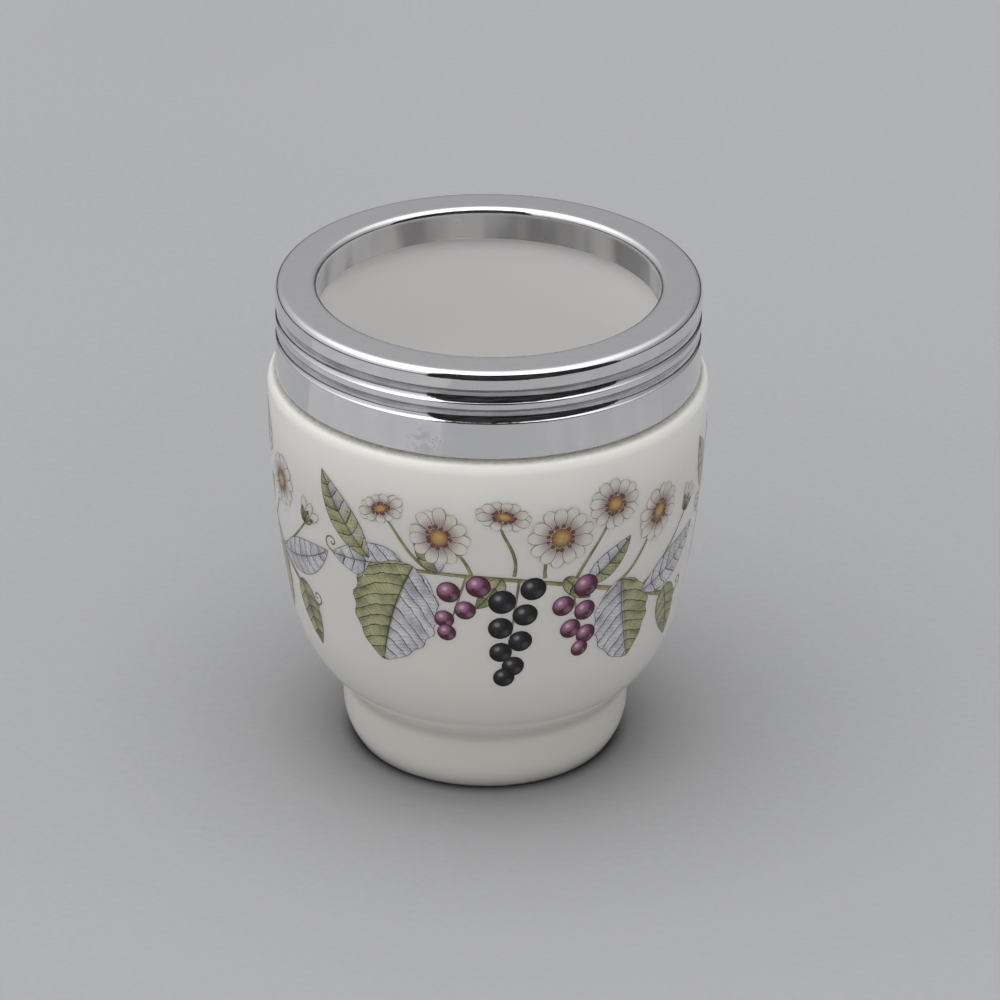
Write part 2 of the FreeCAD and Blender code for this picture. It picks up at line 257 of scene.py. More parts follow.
cup_rows = profile([
    (0, RECESS_DEPTH, 0, 3.0),
    (RECESS - RECESS_ROUND, RECESS_DEPTH, -RECESS_ROUND, 1.0),
    (RECESS, RECESS_DEPTH - RECESS_ROUND, 0, 1.0),
    (RECESS, REST_RISE, rest_corner, 0.6),
    (REST_INNER, 0, 0, 0.6),
    (REST_OUTER, 0, foot_lower, 0.8),
    (*FOOT_BULGE, foot_upper, 0.8),
    (*FOOT_TOP, -FOOT_CREASE, 0.5),
    (*FOOT_JOIN, bowl, 1.2),
    (*waist, BELLY_CURVE, 1.4),
    (BELLY_RADIUS, BELLY_HEIGHT, SHOULDER_ROUND, 0.6),
    (BELLY_RADIUS - SHOULDER_ROUND, SHOULDER, 0, 0.6),
    (NECK_OUTER + RIM_ROUND, SHOULDER, -RIM_ROUND, 0.4),
    (NECK_OUTER, SHOULDER + RIM_ROUND, 0, 0.25),
    (NECK_OUTER, RIM_TOP - RIM_ROUND, RIM_ROUND, 0.5),
    (NECK_OUTER - RIM_ROUND, RIM_TOP, 0, 0.5),
    (NECK_INNER + RIM_ROUND, RIM_TOP, RIM_ROUND, 0.5),
    (NECK_INNER, RIM_TOP - RIM_ROUND, 0, 1.5),
    (*throat, throat_curve, 1.2),
    (*throat_middle, -throat_curve, 1.2),
    (*INNER_BELLY, -INNER_CURVE, 1.6),
    (*inner_waist, -inner_bowl, 1.4),
    (floor_edge, INNER_FLOOR, 0, 2.0),
    (0, INNER_FLOOR, 0, 2.0),
], reach=CUP_SOFTNESS, closed=False)
cup_rows[[0, -1], 0] = 0


def neck_ridge(radius, height, angle):
    """The thread stands out on the outside of the neck alone."""
    on_neck = (radius > NECK_OUTER - 0.3) & (height > SHOULDER + 0.6)
    return np.where(on_neck, thread_height(height, angle, NECK_THREAD), 0)


cup = turned("glazed_cup", cup_rows, "cup", neck_ridge)
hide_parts("porcelain_cup")
print("cup profile:", len(cup_rows), "rows, bowl arc", round(bowl, 2), "mm")

# %% [markdown]
# The screw ring is thin brass, turned and plated. Two coves run round its side and the mouth has a
# lip that turns down inside. Bright plating is a mirror, so what it shows depends on how exactly
# its edges turn over: each edge is a small arc, and even the corners of the coves are rounded a
# little. The ring's own thread is cut into the same surface, on the bore.

# %% The screw ring
RING_RADIUS = 30.8
BORE = 29.15
MOUTH = 24.7
LIP_WALL = 0.6
COVE_BOTTOM = 65.45
COVE_PITCH = 3.05
COVE_WIDTH = 2.2
COVE_DEPTH = 0.55
COVE_CURVE = (COVE_WIDTH ** 2 / 4 + COVE_DEPTH ** 2) / 2 / COVE_DEPTH
SKIRT_ROUND = 0.25
TOP_ROUND = 1.05
MOUTH_ROUND = 0.9
RING_SOFTNESS = 0.06
RING_THREAD = 61.125
LIP_CURVE = 0.312
LIP_ROUND = LIP_CURVE - sqrt(LIP_CURVE ** 2 - LIP_WALL ** 2 / 4)

ring_rows = profile([
    (BORE, RING_BOTTOM, 0, 0.6),
    (RING_RADIUS - SKIRT_ROUND, RING_BOTTOM, SKIRT_ROUND, 0.3),
    (RING_RADIUS, RING_BOTTOM + SKIRT_ROUND, 0, 0.8),
    (RING_RADIUS, COVE_BOTTOM, -COVE_CURVE, 0.3),
    (RING_RADIUS, COVE_BOTTOM + COVE_WIDTH, 0, 0.3),
    (RING_RADIUS, COVE_BOTTOM + COVE_PITCH, -COVE_CURVE, 0.3),
    (RING_RADIUS, COVE_BOTTOM + COVE_PITCH + COVE_WIDTH, 0, 0.4),
    (RING_RADIUS, TOTAL_HEIGHT - TOP_ROUND, TOP_ROUND, 0.3),
    (RING_RADIUS - TOP_ROUND, TOTAL_HEIGHT, 0, 0.8),
    (MOUTH + MOUTH_ROUND, TOTAL_HEIGHT, MOUTH_ROUND, 0.3),
    (MOUTH, TOTAL_HEIGHT - MOUTH_ROUND, 0, 0.8),
    (MOUTH, LIP_BOTTOM + LIP_ROUND, LIP_CURVE, 0.2),
    (MOUTH + LIP_WALL, LIP_BOTTOM + LIP_ROUND, 0, 1.0),
    (MOUTH + LIP_WALL, FLANGE_BOTTOM, 0, 0.8),
    (BORE, FLANGE_BOTTOM, 0, 0.3),
], reach=RING_SOFTNESS, closed=True)


def ring_ridge(radius, height, angle):
    """The thread stands inwards on the bore alone."""
    on_bore = (np.abs(radius - BORE) < 0.3) & (height < FLANGE_BOTTOM - 0.5)
    return np.where(on_bore, -thread_height(height, angle, RING_THREAD), 0)


ring = turned("plated_ring", ring_rows, "ring", ring_ridge)
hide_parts("screw_ring")
print("ring profile:", len(ring_rows), "rows, cove arc", round(COVE_CURVE, 3), "mm")

# %% [markdown]
# A material is a graph of nodes, which is easier to read as sums. One class wraps a socket and
# turns + - * / into Math nodes. Any other node comes from one method.

# %% Shader sums
def math_method(operation, swapped=False):
    """Make a method that joins two values by a Math node."""
    def method(self, other):
        first, second = (other, self) if swapped else (self, other)
        return self.shader.node("ShaderNodeMath", {"operation": operation}, {0: first, 1: second})
    return method


class Wire:
    """One output socket of a node in a shader."""

    def __init__(self, shader, socket):
        self.shader = shader
        self.socket = socket

    __add__ = math_method("ADD")
    __radd__ = math_method("ADD", True)
    __sub__ = math_method("SUBTRACT")
    __rsub__ = math_method("SUBTRACT", True)
    __mul__ = math_method("MULTIPLY")
    __rmul__ = math_method("MULTIPLY", True)
    __truediv__ = math_method("DIVIDE")
    __rtruediv__ = math_method("DIVIDE", True)

    def call(self, operation, *others):
        """Any other Math operation, such as FRACT or MAXIMUM."""
        values = dict(enumerate((self,) + others))
        return self.shader.node("ShaderNodeMath", {"operation": operation}, values)

    def rise(self, low, high):
        """0 below low, 1 above high, and smooth in between."""
        return self.shader.node(
            "ShaderNodeMapRange", {"interpolation_type": "SMOOTHSTEP"},
            {"Value": self, "From Min": low, "From Max": high})

    def fall(self, low, high):
        """1 below low, 0 above high, and smooth in between."""
        return 1 - self.rise(low, high)

    def off_whole(self):
        """Distance to the nearest whole number."""
        return ((self + 0.5).call("FRACT") - 0.5).call("ABSOLUTE")


class Shader:
    """The nodes of one material or of the world."""

    def __init__(self, owner):
        owner.use_nodes = True
        self.owner = owner
        self.tree = owner.node_tree
        self.tree.nodes.clear()

    def node(self, kind, settings=None, values=None, output=0):
        """Add a node, set its settings first and its sockets next, and return one output."""
        node = self.tree.nodes.new(kind)
        for name, value in (settings or {}).items():
            if name == "stops":
                self.set_stops(node.color_ramp, value)
            else:
                setattr(node, name, value)
        for key, value in (values or {}).items():
            if isinstance(value, Wire):
                self.tree.links.new(value.socket, node.inputs[key])
            else:
                node.inputs[key].default_value = value
        return Wire(self, node.outputs[output]) if node.outputs else None

    def set_stops(self, ramp, stops):
        """Give a colour ramp its stops, as pairs of position and colour."""
        while len(ramp.elements) > 1:
            ramp.elements.remove(ramp.elements[-1])
        ramp.elements[0].position, ramp.elements[0].color = stops[0]
        for position, colour in stops[1:]:
            ramp.elements.new(position).color = colour

    def mix(self, amount, first, second):
        """Blend two colours."""
        return self.node("ShaderNodeMix", {"data_type": "RGBA"},
                         {"Factor": amount, 6: first, 7: second}, output=2)

    def noise(self, place, scale, detail=2.0, rough=0.5):
        """Soft noise from 0 to 1, with scale in waves per unit of place."""
        return self.node("ShaderNodeTexNoise", None, {
            "Vector": place, "Scale": scale, "Detail": detail, "Roughness": rough})

    def cells(self, place, scale):
        """Distance to the nearest of many scattered points."""
        return self.node("ShaderNodeTexVoronoi", None, {"Vector": place, "Scale": scale})

    def reach(self, x, y):
        """Length of the flat vector (x, y)."""
        return (x * x + y * y).call("SQRT")

    def bump(self, strength, depth, height):
        """Waves depth metres deep that only the light sees."""
        return self.node("ShaderNodeBump", None, {
            "Strength": strength, "Distance": depth, "Height": height})

    def place(self):
        """The place on the piece, in millimetres."""
        metres = self.node("ShaderNodeTexCoord", output=3)
        return self.node("ShaderNodeVectorMath", {"operation": "SCALE"},
                         {0: metres, "Scale": 1 / MM})

    def split(self, place):
        """The three coordinates of a place."""
        return [self.node("ShaderNodeSeparateXYZ", None, {0: place}, output=k) for k in range(3)]

    def join(self, x, y, z):
        """A place from three coordinates."""
        return self.node("ShaderNodeCombineXYZ", None, {0: x, 1: y, 2: z})

    def marks(self, *names):
        """Values that were stored on the points of a mesh."""
        return [self.node("ShaderNodeAttribute", {"attribute_name": name}, output=2)
                for name in names]

    def finish(self, **sockets):
        """Close the material with a Principled shader; names use _ for a space."""
        values = {name.replace("_", " "): value for name, value in sockets.items()}
        surface = self.node("ShaderNodeBsdfPrincipled", None, values)
        self.node("ShaderNodeOutputMaterial", None, {"Surface": surface})
        print("material", self.owner.name, "has", len(self.tree.nodes), "nodes")
        return self.owner


def rgb(red, green, blue):
    """Turn a display colour from 0 to 255 into the linear colour that shaders use."""
    values = np.array([red, green, blue]) / 255
    low, high = values / 12.92, ((values + 0.055) / 1.055) ** 2.4
    return (*np.where(values <= 0.04045, low, high).tolist(), 1.0)


def new_material(name):
    """A shader for a new material, and the place on the piece."""
    s = Shader(bpy.data.materials.new(name))
    return s, s.place()


def dress(piece, material):
    """Give a piece one material."""
    piece.data.materials.clear()
    piece.data.materials.append(material)


# %% [markdown]
# Porcelain is white clay under a clear glaze that is as smooth as glass. One plain white surface
# would look like plastic. Here a clear coat lies over a soft white body, and light that goes in
# comes out a few millimetres away, which softens edges. The clay is a little warm. Shade is also
# painted into its colour: the side darkens from the shoulder down, the lower bowl is tinted warm
# and the inside grey against bounced light, and painted grey shade lies under the ring, in the
# crease of the foot and on the upper part of the foot. The glaze is never quite even, so a long
# low wave bends its reflections, and a few specks of iron show in it. The ring that the foot
# stands on is wiped free of glaze before firing: it is dull, sandy and a little dirty.

# %% Glazed porcelain
GLAZE = {"Coat_Weight": 0.8, "Coat_Roughness": 0.05, "Coat_IOR": 1.5,
         "Roughness": 0.5, "Specular_IOR_Level": 0.0}
DEPTH = {"Subsurface_Weight": 0.45, "Subsurface_Scale": 0.003,
         "Subsurface_Radius": (1.0, 1.0, 0.9)}
CREASE_HEIGHT = 9.3  # where the foot meets the bowl


def glaze_wave(s, place):
    """The slow unevenness of the glaze."""
    height = s.noise(place, 0.16, 1.0) + 0.06 * s.noise(place, 1.3, 1.0)
    return s.bump(0.35, 0.0002, height)


def porcelain():
    """White clay, painted shade by height, inside, under the ring and on the foot, specks, bare
    foot.
    """
    s, place = new_material("glazed_porcelain")
    x, y, z = s.split(place)
    radius = s.reach(x, y)
    colour = s.mix(s.noise(place, 0.07), rgb(240, 238, 232), rgb(244, 243, 237))
    # painted shade: the side grows darker from the shoulder down
    colour = s.mix(z.fall(47.0, 57.5), colour, rgb(224, 221, 215))
    # painted: the lower bowl is tinted warm, against the cool light bounced from the paper
    colour = s.mix(z.fall(12.0, 23.0), colour, rgb(237, 234, 227))
    # painted: the inside gets a greyer tone, against the warm light bounced inside the cup
    middle_of_wall = (z * 0.82 + 10.8).call("MINIMUM", NECK_OUTER - 0.2)
    inside = (radius - middle_of_wall).fall(-0.2, 0.0) * z.rise(8.5, 8.8)
    colour = s.mix(inside, colour, rgb(237, 236, 235))
    # painted shade: a grey band on the shoulder just under the ring
    painted_ring_shade = radius.fall(30.9, 31.5) * radius.rise(30.2, 30.7) * z.rise(58.0, 58.8)
    colour = s.mix(painted_ring_shade * (0.5 + s.noise(place, 1.2, 3.0) * 0.5), colour, rgb(146, 143, 131))
    # painted shade in the crease where the foot meets the bowl
    painted_crease_shade = (z - CREASE_HEIGHT).call("ABSOLUTE").fall(0.1, 1.2) * radius.rise(19.8, 20.4)
    colour = s.mix(painted_crease_shade * 0.45, colour, rgb(190, 187, 180))
    # painted shade on the upper part of the foot, under the bowl
    colour = s.mix(z.fall(7.5, 12.0) * z.rise(2.0, 7.0) * 0.6, colour, rgb(206, 202, 194))
    speck = s.cells(place, 0.14).fall(0.006, 0.016) * s.noise(place, 0.11).rise(0.52, 0.6)
    colour = s.mix(speck * 0.4, colour, rgb(150, 138, 120))
    bare = z.fall(0.12, 0.4) * radius.rise(REST_INNER - 0.3, REST_INNER - 0.05)
    grit = s.noise(place, 4.5, 3.0)
    bisque = s.mix(grit.rise(0.35, 0.75), rgb(226, 221, 210), rgb(196, 188, 174))
    colour = s.mix(bare, colour, bisque)
    return s.finish(**{
        **GLAZE, **DEPTH, "Base_Color": colour, "Roughness": GLAZE["Roughness"] + bare * 0.4,
        "Coat_Weight": (1 - bare) * GLAZE["Coat_Weight"], "Normal": glaze_wave(s, place)})


dress(cup, porcelain())

# %% [markdown]
# Chrome is nearly a perfect mirror. A used ring is not flawless: water dries to pale spots, a wipe
# leaves a smudge on the skirt and the lip is dull. Some shade is painted into the plating's colour
# too: a painted dark reflection in the upper half of each cove, painted shade in its upper corner,
# and streaks of painted shade on the inside of the lip. Turning leaves lines of its own, which
# show darker in the coves, so the finest pattern runs round the axis: it depends on the radius and
# the height and hardly on the angle.

# %% Bright chrome
SMUDGE = (-8.8, -29.5, 62.0)


def chrome():
    """A mirror with turned lines, painted dark reflection and shade in the coves, a dull lip with
    painted shade, a smudge, spots and pits.
    """
    s, place = new_material("bright_chrome")
    x, y, z = s.split(place)
    radius = s.reach(x, y)
    angle = y.call("ARCTAN2", x)
    turned_marks = s.noise(s.join(radius * 9, z * 9, angle * 1.6), 1.0, 3.0)
    round_lines = s.noise(s.join(radius * 3, z * 4, angle * 1.5), 1.0, 2.0)
    cloud = s.noise(place, 0.35, 4.0, 0.6)
    up_cove = ((z - COVE_BOTTOM) / COVE_PITCH).call("FRACT") * COVE_PITCH
    in_cove = radius.fall(RING_RADIUS - 0.3, RING_RADIUS - 0.04) * radius.rise(29.6, 29.9)
    in_cove = in_cove * z.rise(65.2, 65.4) * z.fall(70.8, 71.0)
    # painted shade: the upper corner of each cove is darkened
    corner = in_cove * up_cove.rise(1.75, 2.05)
    cove_mottle = s.noise(s.join(x, y, z * 3), 0.22, 4.0, 0.7).rise(0.3, 0.7)
    # painted dark reflection: the upper half of each cove is darkened, mottled by noise
    painted_cove_dark = in_cove * up_cove.rise(0.5, 1.2) * (0.35 + cove_mottle * 0.65)
    lip = radius.fall(MOUTH + 0.1, MOUTH + 0.3) * z.fall(71.9, 72.6)
    streak = s.noise(s.join(x, y, z * 0.3), 0.13, 2.0).rise(0.36, 0.64)
    wiped = s.join(x - SMUDGE[0], y - SMUDGE[1], (z - SMUDGE[2]) * 1.4)
    wiped = s.node("ShaderNodeVectorMath", {"operation": "LENGTH"}, {0: wiped}, output=1)
    wiped = wiped.fall(1.0, 5.2) * s.noise(place, 0.7, 5.0, 0.75).rise(0.42, 0.62)
    spots = s.noise(place, 2.2, 4.0, 0.65).rise(0.56, 0.7) * cloud.rise(0.5, 0.62)
    pits = s.cells(place, 1.1).fall(0.05, 0.1) * s.noise(place, 0.3, 2.0).rise(0.57, 0.67)
    colour = s.mix(cloud, rgb(227, 227, 229), rgb(234, 234, 236))
    # painted dark reflection in the upper half of each cove
    colour = s.mix(painted_cove_dark * 0.65, colour, rgb(140, 139, 139))
    colour = s.mix(in_cove * round_lines.rise(0.5, 0.64) * 0.5, colour, rgb(120, 119, 119))
    # painted shade in the upper corner of each cove
    colour = s.mix(corner * 0.75, colour, rgb(96, 95, 94))
    # painted shade on the inside of the lip, in streaks; its added roughness is real dullness
    colour = s.mix(lip * (0.95 - streak * 0.75), colour, rgb(156, 156, 157))
    colour = s.mix(pits * 0.5, colour, rgb(120, 112, 104))
    roughness = 0.04 + turned_marks * 0.05 + painted_cove_dark * 0.06 + lip * 0.14
    roughness = roughness + wiped * 0.42 + spots * 0.12 + pits * 0.3
    height = turned_marks * 0.25 + s.noise(place, 0.5, 2.0) * 1.5
    return s.finish(Base_Color=colour, Metallic=1.0, Roughness=roughness,
                    Normal=s.bump(0.12, 0.0001, height))


dress(ring, chrome())

# %% [markdown]
# The washer is a flat ring of pale rubber, pressed between the rim and the ring. Only its inner
# edge can be seen, deep in the mouth. It is matt, with a fine grain from its mould.

# %% Rubber
def rubber():
    """Pale matt rubber, a little cloudy."""
    s, place = new_material("washer_rubber")
    colour = s.mix(s.noise(place, 0.6, 3.0), rgb(206, 200, 186), rgb(220, 216, 206))
    grain = s.bump(0.3, 0.00005, s.noise(place, 9.0, 2.0))
    return s.finish(Base_Color=colour, Roughness=0.72, Normal=grain)


dress(washer, rubber())

# %% [markdown]
# The band of plants is a print in ceramic colours, fired on the glaze. It could be painted by
# formulas in the porcelain's material, but every leaf has its own place, turn and outline.
# Instead each motif is a thin patch that follows the glaze, a few hundredths of a millimetre off
# it, as a transfer does. The patch has the outline, and its material draws the inside from marks
# that are stored on its points, such as the distance to the edge or to the midrib.

# %% Patches on the cup
PRINT_RADIUS = 31.0  # the band is laid out flat, in mm, at this radius
FIRST_LIFT = 0.008
LAYER_LIFT = 0.002

top_row = int(np.argmax(cup_rows[:, 1]))
side_rows = cup_rows[:top_row]
side_rows = side_rows[(side_rows[:, 1] > 11.0) & (side_rows[:, 1] < 57.0)]
side_slope = np.gradient(side_rows[:, 0], side_rows[:, 1])


def on_cup(u, v, lift):
    """Wrap flat places on the cup: u mm round it from the front, v mm above the table.

    The angle is u / PRINT_RADIUS from the front, the radius is that of the cup at the height v,
    and the point is moved by lift along the normal (1, -slope) of the side.
    """
    angle = u / PRINT_RADIUS - pi / 2
    slope = np.interp(v, side_rows[:, 1], side_slope)
    length = np.sqrt(1 + slope ** 2)
    radius = np.interp(v, side_rows[:, 1], side_rows[:, 0]) + lift / length
    return np.stack([radius * np.cos(angle), radius * np.sin(angle), v - lift * slope / length],
                    axis=-1)


class Print:
    """Patches of one kind of motif, gathered into one mesh."""

    def __init__(self):
        self.points = []
        self.faces = []
        self.marks = {}
        self.count = 0

    def add(self, u, v, layer, **marks):
        """Add one grid of points; its rows run forwards and its columns run to the left."""
        columns = u.shape[1]
        here = self.count + np.arange(u.size).reshape(u.shape)[:-1, :-1]
        around = [here, here + columns, here + columns + 1, here + 1]
        self.faces.append(np.stack(around, axis=-1).reshape(-1, 4))
        self.points.append(on_cup(u, v, FIRST_LIFT + layer * LAYER_LIFT).reshape(-1, 3))
        for name, value in marks.items():
            self.marks.setdefault(name, []).append(np.broadcast_to(value, u.shape).ravel())
        self.count += u.size

    def make(self, name, material):
        """Join the patches and give every point the normal of the cup under it."""
        marks = {mark: np.concatenate(values) for mark, values in self.marks.items()}
        piece = finish_mesh(name, np.vstack(self.points), np.vstack(self.faces), "cup",
                            marks)
        place = np.zeros(len(piece.data.vertices) * 3)
        piece.data.vertices.foreach_get("co", place)
        x, y, z = place.reshape(-1, 3).T / MM
        slope = np.interp(z, side_rows[:, 1], side_slope)
        normal = np.stack([x, y, -slope * np.hypot(x, y)], axis=1)
        normal /= np.linalg.norm(normal, axis=1)[:, None]
        piece.data.normals_split_custom_set_from_vertices(normal.tolist())
        dress(piece, material)


print("The band is", round(2 * pi * PRINT_RADIUS, 1), "mm long")

# %% [markdown]
# Every motif is a formula of two parameters. A leaf or a petal is a strip round a bent midrib,
# with a half width that starts and ends at nothing. A berry or the heart of a daisy is a disc in
# radius and angle. A stem is a strip of even width along a Bezier curve.

# %% Strips and discs
leaves, stems, petals, hearts, berries = Print(), Print(), Print(), Print(), Print()
VEIN_STEP = 2.0  # distance of the side veins along the midrib, mm


def strip(base, heading, length, half, bend, steps, columns):
    """A strip round a midrib: midrib + across * half * left normal.

    The midrib leaves base at heading and turns by bend in all; half gives the half width for a
    share of the length from 0 to 1.
    """
    share = (1 - np.cos(np.linspace(0, pi, steps))) / 2
    across = np.linspace(-1, 1, columns)[None, :]
    fine = np.linspace(0, 1, 200)
    turn = heading + bend * fine
    run = np.concatenate([[0], np.cumsum(np.cos((turn[1:] + turn[:-1]) / 2)) / 199]) * length
    rise = np.concatenate([[0], np.cumsum(np.sin((turn[1:] + turn[:-1]) / 2)) / 199]) * length
    way = np.interp(share, fine, turn)[:, None]
    wide = half(share)[:, None]
    u = base[0] + np.interp(share, fine, run)[:, None] - np.sin(way) * across * wide
    v = base[1] + np.interp(share, fine, rise)[:, None] + np.cos(way) * across * wide
    return u, v, share[:, None], across, wide


def blade(low, high):
    """Half width of a leaf: share^low * (1 - share)^high, brought to a largest value of 1."""
    best = low / (low + high)
    peak = best ** low * (1 - best) ** high
    return lambda share: share ** low * (1 - share) ** high / peak


def leaf(base, heading, length, width, bend=0.0, layer=3, left=0.0, right=0.0, low=0.55, high=0.9,
         lobes=0):
    """Print a leaf. left and right say how green its halves are, from 0 to 1."""
    outline = blade(low, high)

    def half(share):
        ripple = 1 + 0.05 * np.sin(2 * pi * share * lobes) if lobes else 1
        return np.maximum(outline(share) * ripple * width / 2, 0)

    u, v, share, across, wide = strip(base, radians(heading), length, half,
                                      radians(bend), 40, 21)
    from_rib = np.abs(across) * wide
    leaves.add(u, v, layer, edge=wide - from_rib, rib=from_rib,
               vein=(share * length - from_rib * 0.45 - from_rib ** 2 * 0.05) / VEIN_STEP,
               green=np.where(across > 0, left, right) + 0 * share, along=share + 0 * across)


def disc(sheet, centre, radius, layer, squash=1.0, turn=0.0, rings=6, around=24, **marks):
    """Print a disc; it may be flattened by squash along the direction turn, in degrees."""
    reach = np.linspace(0, 1, rings)[:, None]
    angle = np.linspace(0, 2 * pi, around + 1)[None, :]
    x, y = reach * np.cos(angle), reach * np.sin(angle)
    c, s = cos(radians(turn)), sin(radians(turn))
    along, beside = (x * c + y * s) * squash, -x * s + y * c
    u = centre[0] + radius * (along * c - beside * s)
    v = centre[1] + radius * (along * s + beside * c)
    sheet.add(u, v, layer, x=x, y=y, **marks)


def ribbon(line, way, wide, layer):
    """Print a strip of the half width wide on both sides of a line that runs along way."""
    across = np.linspace(-1, 1, 5)[None, :]
    u = line[:, :1] - way[:, 1:] * across * wide
    v = line[:, 1:] + way[:, :1] * across * wide
    stems.add(u, v, layer, edge=wide * (1 - np.abs(across)), side=across + 0 * wide)


def stem(points, start, end, layer=0, steps=40):
    """Print a stem along the Bezier curve of the given points, start and end mm wide."""
    points = np.array(points, dtype=float)
    share = np.linspace(0, 1, steps)[:, None]
    degree = len(points) - 1
    weights = [comb(degree, k) * share ** k * (1 - share) ** (degree - k)
               for k in range(degree + 1)]
    line = sum(weight * point for weight, point in zip(weights, points))
    way = np.gradient(line, axis=0)
    way /= np.linalg.norm(way, axis=1)[:, None]
    ribbon(line, way, (start + (end - start) * share) / 2, layer)


def tendril(base, heading, size, turns, layer=0):
    """Print a curl: a spiral whose radius shrinks as it winds away from base."""
    share = np.linspace(0, 1, 70)[:, None]
    angle = radians(heading) + 2 * pi * turns * share
    way = np.hstack([np.cos(angle), np.sin(angle)])
    step = size * (1.05 - share) ** 1.5 * abs(turns) * 2 * pi / len(share)
    ribbon(np.array(base) + np.cumsum(way * step, axis=0), way, 0.15 - 0.06 * share, layer)


print("motif makers: leaf, disc, stem, tendril")

# %% [markdown]
# A daisy is a double ring of narrow petals round a golden heart, with a ring of dark dots. Seen
# from the side it is the same flower flattened in one direction. Berries sit left and right of a
# drooping stalk, smaller towards its end, and each shows the dry star of its flower.

# %% Daisies and strings of berries
rng = np.random.default_rng(27)


def petal(base, way, length, half, bend, steps, columns, layer, tone):
    """Print one petal: its strip, its layer and its tone."""
    u, v, share, across, wide = strip(base, way, length, half, bend, steps, columns)
    petals.add(u, v, layer, edge=wide * (1 - np.abs(across)), side=across * wide,
               along=share + 0 * across, tone=tone)


def daisy(centre, size, squash=1.0, turn=0.0, count=13, layer=14):
    """Print a daisy that is size mm in radius."""
    tilt = radians(turn)
    c, s = cos(tilt), sin(tilt)
    first = rng.uniform(0, 360)
    for k in range(count):
        heading = radians(first + 360 * k / count + rng.uniform(-5, 5))
        along, beside = cos(heading - tilt) * squash, sin(heading - tilt)
        way = (along * c - beside * s, along * s + beside * c)
        reach = hypot(*way)
        length = size * rng.uniform(0.68, 0.8) * reach
        base = (centre[0] + way[0] * size * 0.26, centre[1] + way[1] * size * 0.26)
        width = size * 0.43 * (0.55 + 0.45 * sqrt(squash / max(reach, 0.3)))
        outline = blade(0.85, 0.42)
        petal(base, atan2(way[1], way[0]), length, lambda part: outline(part) * width / 2,
              rng.uniform(-0.25, 0.25), 12, 7, layer + k % 2 + 0.2 * (k % 5), rng.uniform(0, 1))
    disc(hearts, centre, size * 0.31, layer + 4, squash, turn, gold=1.0)
    for k in range(13):
        angle = 2 * pi * (k + rng.uniform(-0.25, 0.25)) / 13
        reach = size * rng.uniform(0.33, 0.43)
        x, y = cos(angle) * squash * reach, sin(angle) * reach
        spot = (centre[0] + x * c - y * s, centre[1] + x * s + y * c)
        disc(hearts, spot, size * rng.uniform(0.05, 0.075), layer + 5, rings=3, around=8, gold=0.0)


def berry_string(top, heading, count, size, dark, layer=9):
    """Print a string of berries that hangs from top; heading is in degrees."""
    way = np.array([cos(radians(heading)), sin(radians(heading))])
    side = np.array([-way[1], way[0]])
    top = np.array(top, dtype=float)
    length = size * 1.02 * count
    stem([top, top + way * length * 0.5, top + way * length * 0.9], 0.4, 0.2, layer - 1, 20)
    for k in range(count):
        share = k / (count - 1)
        lean = (-1) ** k * size * (1.15 - 0.75 * share) * (0 if k == count - 1 else 1)
        spot = top + way * (length * share + size * 0.9) + side * lean
        spot = spot + rng.uniform(-0.15, 0.15, 2)
        radius = size * (1.05 - 0.22 * share) * rng.uniform(0.95, 1.05)
        disc(berries, spot, radius, layer + 0.8 * k, dark=dark + rng.uniform(-0.06, 0.06), rings=8,
             around=28)
        star = spot + (way * 0.45 + side * rng.uniform(-0.3, 0.3)) * radius
        for point in range(5):
            leaf_heading = heading + 72 * point + rng.uniform(-12, 12)
            u, v, *_ = strip(star, radians(leaf_heading), radius * 0.3,
                             lambda part: np.sin(pi * part) * radius * 0.07, 0, 4, 3)
            hearts.add(u, v, layer + 0.8 * k + 0.5, x=0.0, y=0.0, gold=-1.0)


def bud(base, heading, size, layer=8):
    """Print a closed bud: a fan of short petals in a green cup."""
    for lean in (-26, 0, 26):
        way = radians(heading + lean)
        outline = blade(0.8, 0.5)
        petal(base, way, size, lambda part: outline(part) * size * 0.17, 0, 10, 5,
              layer + (lean == 0), 0.6)
    for lean in (-34, 34, 0):
        leaf(base, heading + lean, size * 0.62, size * 0.3, layer=layer + 2, left=1.0, right=1.0)


# %% [markdown]
# One spray is a leaning branch with daisies above it, strings of berries below it and leaves at
# both ends. Three sprays go round the cup with a white gap between them. Each is laid out flat
# in millimetres from its own middle, and small random changes keep the three from being copies.

